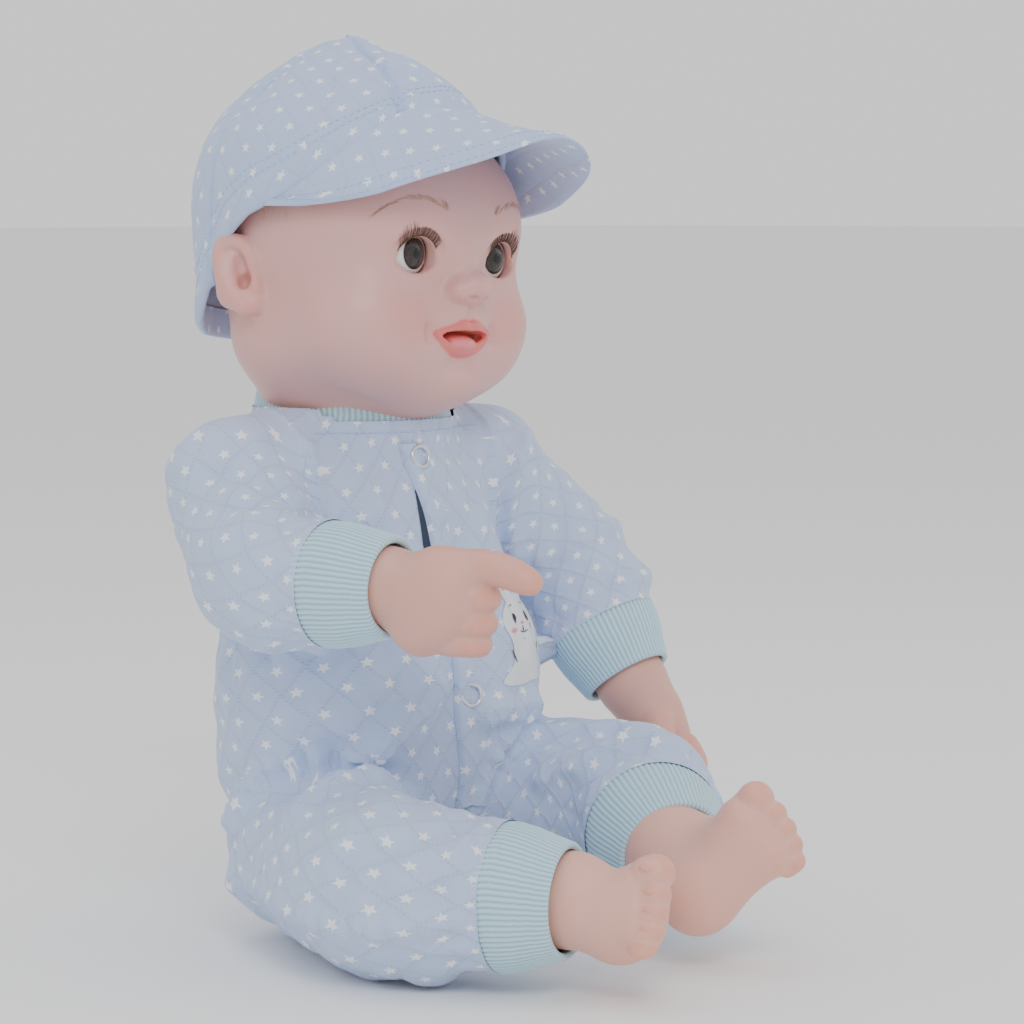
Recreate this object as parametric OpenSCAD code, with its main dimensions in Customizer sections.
// Seated interactive baby doll: soft vinyl head, arms and bent legs on a hard
// two-part torso with a sound unit, sleeping eyes, a romper and a peaked cap.
// Frame: +Z up, the doll faces -Y, its left side is +X, origin under the seat.

/* [Torso] */
// Backward lean of the torso, in degrees
lean = 6; // [3:1:9]
// Height of the hip axis above the seat
hip_z = 34; // [33:0.5:36]
// Wall of the hard plastic torso shells
shell_wall = 2.5; // [2:0.1:3]
// Height of the shoulder axis above the hip axis, along the torso
shoulder_up = 140; // [139:0.5:141]

/* [Head] */
// Height of the middle of the head
head_z = 246; // [245:0.5:250]
// Turn of the head to its left, in degrees
head_turn = 7; // [0:1:12]
// Tilt of the head to its left, in degrees
head_roll = 3; // [0:1:6]
// Wall of the vinyl head, arms and legs
vinyl_wall = 3; // [2.5:0.1:3.5]
// Radius of one eyeball
eye_r = 11; // [10.5:0.1:11.2]
// Half of the distance between the eyeball centres
eye_gap = 22.5; // [22:0.5:24]

/* [Clothes] */
// Thickness of the quilted cloth
cloth = 2.4; // [1.8:0.1:2.8]
// Thickness of the ribbed cuffs
rib = 2; // [1.5:0.1:2.4]

/* [Electronics] */
// Radius of one AA cell
cell_r = 7.15; // [7:0.05:7.2]
// Length of one AA cell without its button
cell_l = 49; // [48:0.5:49.5]
// Radius of the belly push button
button_r = 11; // [9:0.5:12]
// Radius of the loudspeaker
speaker_r = 16; // [14:0.5:17]

/* [Hidden] */
$fn = 40;
coarse = 20;      // facets of the spheres inside hulls
gap = 0.3;        // air between parts that move past each other
fit = 0.05;       // radial clearance of the turning hubs
tiny = 0.01;

// joint planes and hub sizes
hip_plane = 24;
shoulder_plane = 44.5;
hip_hub_r = 7;
shoulder_hub_r = 6;
neck_hub_r = 9;
hip_y = 4;
head_y = 19;
neck_at = [0, 21, 186];     // middle of the neck boss's top, the neck turns upright
collar_at = [0, 24, 193.5];
collar_tilt = 4;
collar_r = 37;

// torso points, in the torso's own leaning frame: [x, y, z, radius]
chest_ball = [12, -4, 112, 32];
belly_ball = [16, -6, 58, 38];
pelvis_ball = [3, 0, 2, 24];
neck_boss_r = 22;
shoulder_boss_r = 16;
split_gap = 0.1;

thigh_top = 39;   // the torso is cut away over the thighs up to here, along the torso

// limb points
arm_root_x = 62;
elbow_right = [-79, -19, 138];
wrist_right = [-64, -74, 138];
palm_right = [-59, -91, 136];
fingertip_right = [-44, -117, 146];
elbow_left = [86, -2, 131];
wrist_left = [91, -33, 88];
palm_left = [97, -42, 71];
fingers_left = [102, -50, 55];
leg_root_x = 39;
knee_right = [-66, -74, 31];
ankle_right = [-38, -136, 33];
heel_right = [-27, -149, 25];
toes_right = [[-28, -163, 46], [-35, -164, 22]];
knee_left = [61, -62, 46];
ankle_left = [36, -113, 36];
heel_left = [25, -135, 25];
toes_left = [[36, -148, 61], [42, -158, 38]];

// electronics, in the torso's frame
speaker_up = 112;
speaker_y = -28.7;
button_up = 62;
button_y = -42.6;
button_travel = 2;
board_y = -24;
board = [44, 1.6, 48];
board_up = 68;
tray = [47, 16, 57];
tray_y = 9;
tray_up = 64;
cell_pitch = 14.75;
cell_y = 17.6;
door = [49, 59];
door_up = tray_up + 7;
switch_up = 109;
screw_r = 1.5;

// ---- frames and small helpers ----

module in_torso() translate([0, hip_y, hip_z]) rotate([-lean, 0, 0]) children();

module in_head() translate([0, head_y, head_z]) rotate([0, head_roll, head_turn]) children();

module in_neck() translate(neck_at) children();

module in_collar() translate(collar_at) rotate([collar_tilt, 0, 0]) children();

// brings the neck's frame into the head's frame
module neck_in_head() rotate([0, -head_roll, 0]) rotate([0, 0, -head_turn])
    translate([0, -head_y, -head_z]) in_neck() children();

// brings the neck's frame into the torso's frame
module neck_in_torso() rotate([lean, 0, 0]) translate([0, -hip_y, -hip_z]) in_neck() children();

// turns +Z to the direction d
module aim(d) rotate([0, acos(d[2] / norm(d)), atan2(d[1], d[0])]) children();

// a hull ball
module ball(c, r) translate(c) sphere(r, $fn = coarse);

// a thin round plate across the direction d, used as the flat end of a limb
module plate(c, d, r) translate(c) aim(d) cylinder(r = r, h = 0.4, center = true, $fn = 24);

module both_sides() for (side = [-1, 1]) scale([side, 1, 1]) children();

// a rod along X from x0 to x1, on the line y, z
module rod(x0, x1, r, y = 0, z = 0)
    translate([min(x0, x1), y, z]) rotate([0, 90, 0]) cylinder(r = r, h = abs(x1 - x0));

// a rod along Y from y0 to y1
module pole(y0, y1, r, x = 0, z = 0)
    translate([x, y0, z]) rotate([-90, 0, 0]) cylinder(r = r, h = y1 - y0);

function unit(v) = v / norm(v);

function shoulder_at() = [hip_y + shoulder_up * sin(lean), hip_z + shoulder_up * cos(lean)];

// points of one ring of a cable, r around c, across the direction d
function ring(c, d, r, sides) =
    let (w = unit(d), u = unit(cross(w, abs(w[2]) < 0.9 ? [0, 0, 1] : [1, 0, 0])), v = cross(w, u))
    [for (k = [0 : sides - 1]) c + r * (u * cos(360 * k / sides) + v * sin(360 * k / sides))];

// a round cable through the route's points
module cable(route, r, sides = 8) {
    last = len(route) - 1;
    rings = [for (i = [0 : last])
        ring(route[i], route[min(i + 1, last)] - route[max(i - 1, 0)], r, sides)];
    faces = concat(
        [[for (k = [0 : sides - 1]) k]],
        [for (i = [0 : last - 1]) for (k = [0 : sides - 1])
            [i * sides + k, (i + 1) * sides + k, (i + 1) * sides + (k + 1) % sides]],
        [for (i = [0 : last - 1]) for (k = [0 : sides - 1])
            [i * sides + k, (i + 1) * sides + (k + 1) % sides, i * sides + (k + 1) % sides]],
        [[for (k = [sides - 1 : -1 : 0]) last * sides + k]]);
    polyhedron(points = [for (q = rings) each q], faces = faces, convexity = 6);
}

// ---- torso shells ----

module torso_form(inset = 0) {
    hull() {
        both_sides() {
            ball([chest_ball[0], chest_ball[1], chest_ball[2]], chest_ball[3] - inset);
            ball([belly_ball[0], belly_ball[1], belly_ball[2]], belly_ball[3] - inset);
            ball([pelvis_ball[0], pelvis_ball[1], pelvis_ball[2]], pelvis_ball[3] - inset);
        }
        neck_in_torso() translate([0, 0, -14]) cylinder(r = neck_boss_r + 2 - inset, h = 5, $fn = 32);
    }
}

module torso_bosses() {
    both_sides() {
        rod(27, shoulder_plane, shoulder_boss_r, 0, shoulder_up);
        rod(3, hip_plane, 20, 0, 0);
    }
    neck_in_torso() translate([0, 0, -20]) cylinder(r = neck_boss_r, h = 20);
}

module torso_bores() {
    both_sides() {
        rod(20, 60, shoulder_hub_r + fit, 0, shoulder_up);
        rod(20, 38, 10.2, 0, shoulder_up);
        rod(2, 60, hip_hub_r + fit, 0, 0);
        rod(-1, 13, 12.2, 0, 0);
        translate([hip_plane, -80, -60]) cube([80, 160, thigh_top + 60]);
    }
    neck_in_torso() translate([0, 0, -30]) {
        cylinder(r = neck_hub_r + fit, h = 40);
        cylinder(r = 14, h = 23);
    }
}

module torso_wall() difference() {
    union() {
        torso_form();
        torso_bosses();
    }
    difference() { torso_form(shell_wall); torso_bosses(); }
    torso_bores();
}

module board_posts()
    for (x = [-17, 17]) for (z = [board_up - 19, board_up + 19])
        intersection() {
            pole(-40, board_y, 2.6, x, z);
            torso_form(1);
        }

module screw_places() for (p = [[-35, 94], [35, 94], [-40, 58], [40, 58]])
    translate([p[0], 0, p[1]]) children();

module torso_front_shell() color("whitesmoke") in_torso() difference() {
    union() {
        difference() {
            torso_wall();
            translate([-70, -split_gap / 2, -60]) cube([140, 90, 260]);
        }
        board_posts();
        intersection() {
            screw_places() pole(-60, -split_gap / 2, 3.6);
            torso_form(1);
        }
        intersection() {
            difference() {
                pole(-60, speaker_y + 4, speaker_r + 2.5, 0, speaker_up);
                pole(-61, 0, speaker_r + 0.1, 0, speaker_up);
            }
            torso_form(1);
        }
    }
    pole(-60, -20, button_r + 0.2, 0, button_up);
    for (a = [0 : 60 : 300]) translate([7 * cos(a), 0, speaker_up + 7 * sin(a)]) pole(-60, -20, 1.1);
    for (a = [0 : 30 : 330]) translate([12 * cos(a), 0, speaker_up + 12 * sin(a)]) pole(-60, -20, 1.1);
    pole(-60, -20, 1.1, 0, speaker_up);
    screw_places() pole(-12, 10, screw_r);
    for (x = [-17, 17]) for (z = [board_up - 19, board_up + 19]) pole(board_y - 6, 0, 1, x, z);
}

module torso_back_shell() color("whitesmoke") in_torso() difference() {
    union() {
        difference() {
            torso_wall();
            translate([-70, -90 + split_gap / 2, -60]) cube([140, 90, 260]);
        }
        intersection() {
            screw_places() pole(split_gap / 2, 40, 3.6);
            torso_form(1);
        }
    }
    translate([-door[0] / 2 - gap, 15, door_up - door[1] / 2 - gap])
        cube([door[0] + 2 * gap, 40, door[1] + 2 * gap]);
    screw_places() pole(-1, 60, screw_r + 0.2);
    screw_places() pole(10, 60, 3);
    translate([-5, 15, switch_up - 3]) cube([10, 40, 6]);
}

module shell_screws() color("silver") in_torso() screw_places() union() {
    pole(-11, 10.1, screw_r);
    pole(10.05, 12.4, 2.8);
}

// ---- sound unit ----

module speaker_frame() color("dimgray") in_torso() difference() {
    union() {
        pole(speaker_y, speaker_y + 4, speaker_r, 0, speaker_up);
        pole(speaker_y + 3.5, speaker_y + 8, speaker_r - 4, 0, speaker_up);
    }
    pole(speaker_y - 1, speaker_y + 3, speaker_r - 2, 0, speaker_up);
    pole(speaker_y, speaker_y + 7, speaker_r - 6, 0, speaker_up);
    pole(speaker_y, speaker_y + 9, 7, 0, speaker_up);
}

module speaker_magnet() color("gray") in_torso() union() {
    pole(speaker_y + 8, speaker_y + 13, 9, 0, speaker_up);
    pole(speaker_y + 5, speaker_y + 8.5, 6.9, 0, speaker_up);
}

module speaker_cone() color("black") in_torso() translate([0, speaker_y + 0.4, speaker_up]) rotate([-90, 0, 0])
    difference() {
        cylinder(r1 = speaker_r - 2.1, r2 = 6, h = 4);
        translate([0, 0, -0.8]) cylinder(r1 = speaker_r - 2.1, r2 = 6, h = 4);
    }

module circuit_board() color("seagreen") in_torso() difference() {
    translate([-board[0] / 2, board_y, board_up - board[2] / 2]) cube(board);
    for (x = [-17, 17]) for (z = [board_up - 19, board_up + 19]) pole(-30, 0, 1.1, x, z);
}

module board_parts() color("black") in_torso() {
    translate([-3.1, board_y - 3.5, button_up - 3.1]) cube([6.2, 3.5, 6.2]);
    translate([-14, board_y + board[1], board_up + 3]) cube([12, 2.2, 9]);
    pole(board_y + board[1], board_y + board[1] + 8, 3.2, 11, board_up + 12);
    translate([2, board_y + board[1], board_up - 18]) cube([12, 5, 6]);
}

module board_screws() color("silver") in_torso()
    for (x = [-17, 17]) for (z = [board_up - 19, board_up + 19]) union() {
        pole(board_y - 5, board_y + board[1] + 0.2, 1, x, z);
        pole(board_y + board[1], board_y + board[1] + 1.4, 2.1, x, z);
    }

module belly_button() color("white") in_torso() union() {
    pole(button_y, button_y + 8, button_r, 0, button_up);
    pole(button_y + 6, button_y + 8, button_r + 2, 0, button_up);
    pole(button_y + 7, board_y - 3.5 - button_travel - 0.3, 2.6, 0, button_up);
}

// a coil of four and a half turns from the button's back to the board
module belly_spring() color("silver") in_torso() {
    from = button_y + 8.6;
    to = board_y - 0.6;
    steps = 72;
    cable([for (i = [0 : steps])
        [7 * cos(22.5 * i), from + (to - from) * i / steps, button_up + 7 * sin(22.5 * i)]], 0.45, 6);
}

module battery_tray() color("whitesmoke") in_torso() difference() {
    union() {
        intersection() {
            translate([-tray[0] / 2, tray_y, tray_up - tray[2] / 2]) cube([tray[0], 30, tray[2]]);
            torso_form(shell_wall + 0.02);
        }
        translate([-4, tray_y + 2, tray_up + tray[2] / 2 - 0.5]) cube([8, 15, 8.5]);
    }
    translate([-tray[0] / 2 + 1.3, tray_y + 1.3, tray_up - tray[2] / 2 + 1.3])
        cube([tray[0] - 2.6, 40, tray[2] - 2.6]);
    pole(tray_y + 4, 40, screw_r + fit, 0, door_up + door[1] / 2 - 4);
}

module battery_cells() color("royalblue") in_torso() for (i = [-1 : 1])
    translate([i * cell_pitch, cell_y, tray_up]) rotate([i == 0 ? 180 : 0, 0, 0]) union() {
        translate([0, 0, -cell_l / 2]) cylinder(r = cell_r, h = cell_l);
        translate([0, 0, cell_l / 2]) cylinder(r = 2.6, h = 1.2);
    }

module battery_contacts() color("silver") in_torso() for (i = [-1 : 1])
    translate([i * cell_pitch, cell_y, tray_up]) rotate([i == 0 ? 180 : 0, 0, 0]) {
        translate([-4.5, -4.5, tray[2] / 2 - 2]) cube([9, 9, 0.6]);
        for (z = [0.5, 1.5]) translate([0, 0, -tray[2] / 2 + 1.3 + z])
            rotate_extrude($fn = 28) translate([4 - z, 0]) circle(0.45, $fn = 14);
    }

module battery_door() color("whitesmoke") in_torso() difference() {
    intersection() {
        difference() { torso_form(); torso_form(shell_wall - 0.3); }
        translate([-door[0] / 2, 15, door_up - door[1] / 2]) cube([door[0], 40, door[1]]);
    }
    pole(10, 60, screw_r + 0.2, 0, door_up + door[1] / 2 - 4);
    pole(28, 60, 3, 0, door_up + door[1] / 2 - 4);
}

module battery_door_screw() color("silver") in_torso() {
    pole(tray_y + 6, 28.1, screw_r, 0, door_up + door[1] / 2 - 4);
    pole(28.05, 29.2, 2.8, 0, door_up + door[1] / 2 - 4);
}

module switch_housing() color("dimgray") in_torso() difference() {
    intersection() {
        translate([-6.5, 20, switch_up - 4]) cube([13, 8, 8]);
        torso_form(shell_wall + 0.02);
    }
    translate([-5, 21, switch_up - 2.2]) cube([10, 8, 4.4]);
}

module switch_slider() color("black") in_torso() union() {
    translate([-4.6, 21.4, switch_up - 2]) cube([6, 3.4, 4]);
    translate([-3.4, 24.7, switch_up - 1.6]) cube([3.6, 3.6, 3.2]);
}

module speaker_lead() color("red") in_torso()
    cable([[-6, -14.6, 106.4], [-7, -12.7, 103], [-9, -12, 98], [-9, -12, 93], [-8, -13, 88],
           [-7, -15, 85], [-6, -17, 82], [-6, -19.6, 80]], 0.9);

module battery_lead() color("red") in_torso()
    cable([[8, 8.4, 70], [8, 6, 69], [8, 2, 66], [8, -2, 62], [8, -6, 58], [8, -10, 55],
           [8, -14, 53.5], [8, -16.6, 53]], 0.9);

// ---- neck, head and eyes ----

module neck_hub() color("whitesmoke") in_neck() union() {
    translate([0, 0, -7.5]) cylinder(r = neck_hub_r, h = 9);
    translate([0, 0, -12]) cylinder(r = 13, h = 4.7);
    translate([0, 0, gap]) cylinder(r = 22, h = 3.4);
}

module head_form(inset = 0) {
    hull() {
        translate([0, 3, 10]) scale([1.04, 1.16, 1.1]) sphere(50 - inset, $fn = 36);
        both_sides() {
            ball([26, -28, -23], 24 - inset);
            ball([17, 8, -25], 22 - inset);
        }
        ball([0, -34, -36], 16 - inset);
    }
    neck_in_head() translate([0, 0, gap]) cylinder(r = 25 - inset, h = 26 - inset, $fn = 32);
}

module ear(side) hull() {
    ball([side * 51, 10, 3], 7);
    ball([side * 55, 15, 4], 5);
    ball([side * 50, 6, -17], 5);
}

eye_at = [0, -37, 6];

module at_eyes() translate(eye_at) children();

module head_skin() color("peachpuff") in_head() difference() {
    union() {
        head_form();
        ear(-1);
        ear(1);
        ball([0, -54, -9], 7.5);
    }
    head_form(vinyl_wall);
    neck_in_head() translate([0, 0, -1]) cylinder(r = 22.1, h = 8);
    both_sides() pole(-80, -30, eye_r + 0.5, eye_gap, eye_at[2]);
}

module eye_frame() color("whitesmoke") in_head() difference() {
    intersection() {
        union() {
            translate([-5, -60, eye_at[2] + 14]) cube([10, 60 + eye_at[1], 4]);
            translate([-10, eye_at[1] - 4, eye_at[2] + 14]) cube([20, 8, 4]);
            both_sides() translate([7.6, eye_at[1] - 4, eye_at[2] - 5]) cube([2.4, 8, 23]);
        }
        head_form(vinyl_wall + 0.02);
    }
    at_eyes() rod(-12, 12, 1.8);
}

module eyeball(side) color("saddlebrown") in_head() at_eyes() difference() {
    translate([side * eye_gap, 0, 0]) sphere(eye_r, $fn = 48);
    rod(-14, 14, 1.6);
}

module eye_axle() color("silver") in_head() at_eyes() rod(-14, 14, 1.6);

module eye_weight() color("gray") in_head() at_eyes() rotate([18, 0, 0]) difference() {
    union() {
        rod(-6, 6, 4);
        translate([0, 0, -26]) cylinder(r = 1.8, h = 24);
        translate([0, 0, -34]) cylinder(r = 6, h = 12);
    }
    rod(-8, 8, 1.65);
}

module lashes(side) color("black") in_head() at_eyes() translate([side * eye_gap, 0, 0])
    rotate([-27, 0, 0]) rotate([0, 0, -90 - 34]) rotate_extrude(angle = 68, $fn = 60)
        translate([eye_r + 0.05, -0.2]) square([3.6, 0.4]);

// ---- cap ----

module cap_form(inset = 0) hull() {
    translate([1, 5, 22]) scale([1.06, 1.09, 1.19]) sphere(56 - inset, $fn = 36);
    translate([0, 6, -30]) scale([1.03, 1.07, 1]) cylinder(r = 54 - inset, h = 10, $fn = 36);
}

// everything above the cap's rim: low at the nape, high at the forehead, open round the ears
module cap_rim(raise = 0) difference() {
    translate([0, 6, 0]) rotate([-26, 0, 0]) translate([-100, -100, 8 + raise]) cube([200, 200, 200]);
    both_sides() translate([34, -30, -80]) cube([60, 58, 98 + raise]);
}

module cap_crown() color("lightsteelblue") in_head() intersection() {
    difference() { cap_form(); cap_form(cloth); }
    cap_rim(4);
}

module cap_hem() color("lightsteelblue") in_head() difference() {
    intersection() {
        difference() { cap_form(); cap_form(cloth); }
        cap_rim(0);
    }
    cap_rim(4 - tiny);
}

// an arched peak: a slice of a pipe that points forward and down
module cap_brim() color("lightsteelblue") in_head() difference() {
    intersection() {
        translate([0, -44, -2]) aim([0, -cos(17), -sin(17)]) difference() {
            cylinder(r = 60, h = 160, center = true, $fn = 96);
            cylinder(r = 57.5, h = 161, center = true, $fn = 96);
        }
        translate([0, 0, 22]) linear_extrude(70) intersection() {
            polygon([for (a = [180 : 6 : 360]) [60 * cos(a), -2 + 93 * sin(a)]]);
            translate([-61, -100]) square([122, 98]);
        }
    }
    cap_form();
}

// ---- arms ----

module arm_form(root, elbow, wrist, inset = 0) {
    hull() { ball(root, 19 - inset); ball(elbow, 17 - inset); }
    hull() { ball(elbow, 17 - inset); ball(wrist, 14.5 - inset); }
}

function arm_root(side) = [side * arm_root_x, shoulder_at()[0], shoulder_at()[1]];

module shoulder_side(side, from) translate([side > 0 ? from : -200 - from, -200, 0]) cube([200, 400, 400]);

module arm_skin(side, elbow, wrist) difference() {
    union() {
        intersection() {
            union() {
                arm_form(arm_root(side), elbow, wrist);
                rod(side * (shoulder_plane + 1.5), side * arm_root_x, 18, shoulder_at()[0], shoulder_at()[1]);
            }
            shoulder_side(side, shoulder_plane + 1.5);
        }
        children();
    }
    arm_form(arm_root(side), elbow, wrist, vinyl_wall);
    rod(side * shoulder_plane, side * arm_root_x, 15.1, shoulder_at()[0], shoulder_at()[1]);
}

module arm_right() color("peachpuff") arm_skin(-1, elbow_right, wrist_right) {
    hull() { ball(wrist_right, 14.5); ball(palm_right, 18); }
    hull() { ball(palm_right + [2, -8, 8], 8); ball(fingertip_right, 5.5); }
}

module arm_left() color("peachpuff") arm_skin(1, elbow_left, wrist_left) {
    hull() { ball(wrist_left, 14.5); ball(palm_left, 13); }
    hull() { ball(palm_left, 13); ball(fingers_left, 9); }
}

module shoulder_hub(side) color("whitesmoke")
    translate([0, shoulder_at()[0], shoulder_at()[1]]) {
        rod(side * 37, side * (shoulder_plane + 3), shoulder_hub_r);
        rod(side * 33.5, side * 37.5, 9.8);
        rod(side * (shoulder_plane + 2), side * (shoulder_plane + 5), 15);
    }

module sleeve_form(side, elbow, wrist, hem_at, inset = 0, past = 0) {
    hem = elbow + hem_at * (wrist - elbow) + past * unit(wrist - elbow);
    hull() { ball(arm_root(side), 25 - inset); ball(elbow, 23.5 - inset); }
    hull() { ball(elbow, 23.5 - inset); plate(hem, wrist - elbow, 24 - inset); }
}

module sleeve(side, elbow, wrist, hem_at) color("lightsteelblue") difference() {
    intersection() {
        sleeve_form(side, elbow, wrist, hem_at);
        shoulder_side(side, 47);
    }
    sleeve_form(side, elbow, wrist, hem_at, cloth, 1);
    rod(side * 40, side * arm_root_x, 21, shoulder_at()[0], shoulder_at()[1]);
}

module wrist_cuff(elbow, wrist, hem_at) color("powderblue") {
    way = wrist - elbow;
    difference() {
        hull() { plate(elbow + hem_at * way + 0.4 * unit(way), way, 23.5); plate(wrist, way, 19); }
        hull() { ball(elbow, 18.5); ball(wrist, 17); plate(wrist + 3 * unit(way), way, 17); }
    }
}

// ---- legs ----

function leg_root(side) = [side * leg_root_x, hip_y, hip_z];

module leg_form(side, knee, ankle, inset = 0) {
    hull() { ball(leg_root(side), 23 - inset); ball(knee, 21 - inset); }
    hull() { ball(knee, 21 - inset); ball(ankle, 16 - inset); }
}

module hip_side(side, from) translate([side > 0 ? from : -200 - from, -250, 0.2]) cube([200, 400, 300]);

module leg_skin(side, knee, ankle) difference() {
    union() {
        intersection() {
            leg_form(side, knee, ankle);
            hip_side(side, hip_plane + 1.5);
        }
        children();
    }
    leg_form(side, knee, ankle, vinyl_wall);
    rod(side * hip_plane, side * leg_root_x, 15.1, hip_y, hip_z);
}

module foot(ankle, heel, toes) {
    hull() { ball(ankle, 15); ball(heel, 11); ball(toes[0], 8.5); ball(toes[1], 8.5); }
}

module leg_right() color("peachpuff") leg_skin(-1, knee_right, ankle_right)
    foot(ankle_right, heel_right, toes_right);

module leg_left() color("peachpuff") leg_skin(1, knee_left, ankle_left)
    foot(ankle_left, heel_left, toes_left);

module hip_hub(side) color("whitesmoke") translate([0, hip_y, hip_z]) {
    rod(side * 12, side * (hip_plane + 3), hip_hub_r);
    rod(side * 6.5, side * 12.5, 12);
    rod(side * (hip_plane + 2), side * (hip_plane + 5), 15);
}

module trouser_form(side, knee, ankle, hem_at, knee_r, inset = 0, past = 0) {
    hem = knee + hem_at * (ankle - knee) + past * unit(ankle - knee);
    hull() { ball(leg_root(side), 28 - inset); ball(knee, knee_r - inset); }
    hull() { ball(knee, knee_r - inset); plate(hem, ankle - knee, 27 - inset); }
}

module trouser(side, knee, ankle, hem_at, knee_r) color("lightsteelblue") difference() {
    intersection() {
        trouser_form(side, knee, ankle, hem_at, knee_r);
        hip_side(side, hip_plane + 1.5);
    }
    intersection() {
        trouser_form(side, knee, ankle, hem_at, knee_r, cloth, 1);
        translate([0, 0, cloth]) hip_side(side, 0);
    }
    rod(side * 10, side * leg_root_x, 24, hip_y, hip_z);
}

module ankle_cuff(knee, ankle, hem_at, end_at) color("powderblue") {
    way = ankle - knee;
    difference() {
        hull() {
            plate(knee + hem_at * way + 0.4 * unit(way), way, 26.5);
            plate(knee + end_at * way, way, 20.5);
        }
        hull() { ball(knee, 22); ball(ankle, 17.5); }
        hull() { plate(ankle, way, 17.5); plate(ankle + 9 * unit(way), way, 17.5); }
    }
}

// ---- romper ----

module romper_form(inset = 0) intersection() {
    union() {
        hull() {
            in_torso() both_sides() {
                ball([38, 0, shoulder_up], 20 - inset);
                ball([10, -5, 108], 36 - inset);
            }
            in_collar() translate([0, 0, -5]) cylinder(r = collar_r - inset, h = 1, $fn = 36);
        }
        hull() {
            in_torso() both_sides() {
                ball([12, -5, 108], 36 - inset);
                ball([20, -6, 58], 41.5 - inset);
            }
            translate([0, 6, inset]) cylinder(r = 40 - inset, h = 12, $fn = 36);
        }
    }
    translate([-100, -100, inset]) cube([200, 200, 300]);
}

module romper_shell() difference() {
    romper_form();
    romper_form(cloth);
    in_collar() translate([0, 0, -12]) cylinder(r = collar_r - 2.2, h = 60);
    in_collar() translate([0, 0, -3.95]) cylinder(r = collar_r + 0.1, h = 60);
    both_sides() {
        rod(45.5, 90, 62, shoulder_at()[0], shoulder_at()[1]);
        translate([hip_plane + 0.5, -80, -10]) cube([100, 160, hip_z + 58]);
    }
}

// the back panel also makes the seat, up to this height
seat_h = 14;

module romper_front(side) color("lightsteelblue") intersection() {
    romper_shell();
    translate([side < 0 ? -100 : tiny, -100, seat_h + tiny]) cube([100 - tiny, 110, 300]);
}

module romper_front_right() romper_front(-1);

module romper_front_left() romper_front(1);

module romper_back() color("lightsteelblue") intersection() {
    romper_shell();
    union() {
        translate([-100, 10 + tiny, -1]) cube([200, 100, 300]);
        translate([-100, -100, -1]) cube([200, 111, seat_h + 1]);
    }
}

module collar() color("powderblue") in_collar() translate([0, 0, -3.9]) difference() {
    cylinder(r = collar_r, h = 6);
    translate([0, 0, -1]) cylinder(r = collar_r - rib, h = 9);
}

module snap_rings() color("silver") in_torso()
    for (p = [[-39.6, 136], [-45.2, 104], [-48.6, 66], [-46, 40]])
        translate([-5, p[0], p[1]]) rotate([90, 0, 0]) difference() {
            cylinder(r = 4.2, h = 1.4);
            translate([0, 0, -1]) cylinder(r = 3, h = 4);
        }

torso_front_shell();
torso_back_shell();
shell_screws();
speaker_frame();
speaker_magnet();
speaker_cone();
circuit_board();
board_parts();
board_screws();
belly_button();
belly_spring();
battery_tray();
battery_cells();
battery_contacts();
battery_door();
battery_door_screw();
switch_housing();
switch_slider();
speaker_lead();
battery_lead();
romper_front_right();
romper_front_left();
romper_back();
collar();
snap_rings();
neck_hub();
head_skin();
eye_frame();
eyeball(-1);  // eyeball_right
eyeball(1);  // eyeball_left
eye_axle();
eye_weight();
lashes(-1);  // lashes_right
lashes(1);  // lashes_left
cap_crown();
cap_brim();
cap_hem();
arm_right();
arm_left();
shoulder_hub(-1);  // shoulder_hub_right
shoulder_hub(1);  // shoulder_hub_left
sleeve(-1, elbow_right, wrist_right, 0.5);  // sleeve_right
sleeve(1, elbow_left, wrist_left, 0.56);  // sleeve_left
wrist_cuff(elbow_right, wrist_right, 0.5);  // wrist_cuff_right
wrist_cuff(elbow_left, wrist_left, 0.56);  // wrist_cuff_left
leg_right();
leg_left();
hip_hub(-1);  // hip_hub_right
hip_hub(1);  // hip_hub_left
trouser(-1, knee_right, ankle_right, 0.62, 32);  // trouser_right
trouser(1, knee_left, ankle_left, 0.52, 28);  // trouser_left
ankle_cuff(knee_right, ankle_right, 0.62, 0.97);  // ankle_cuff_right
ankle_cuff(knee_left, ankle_left, 0.52, 0.94);  // ankle_cuff_left
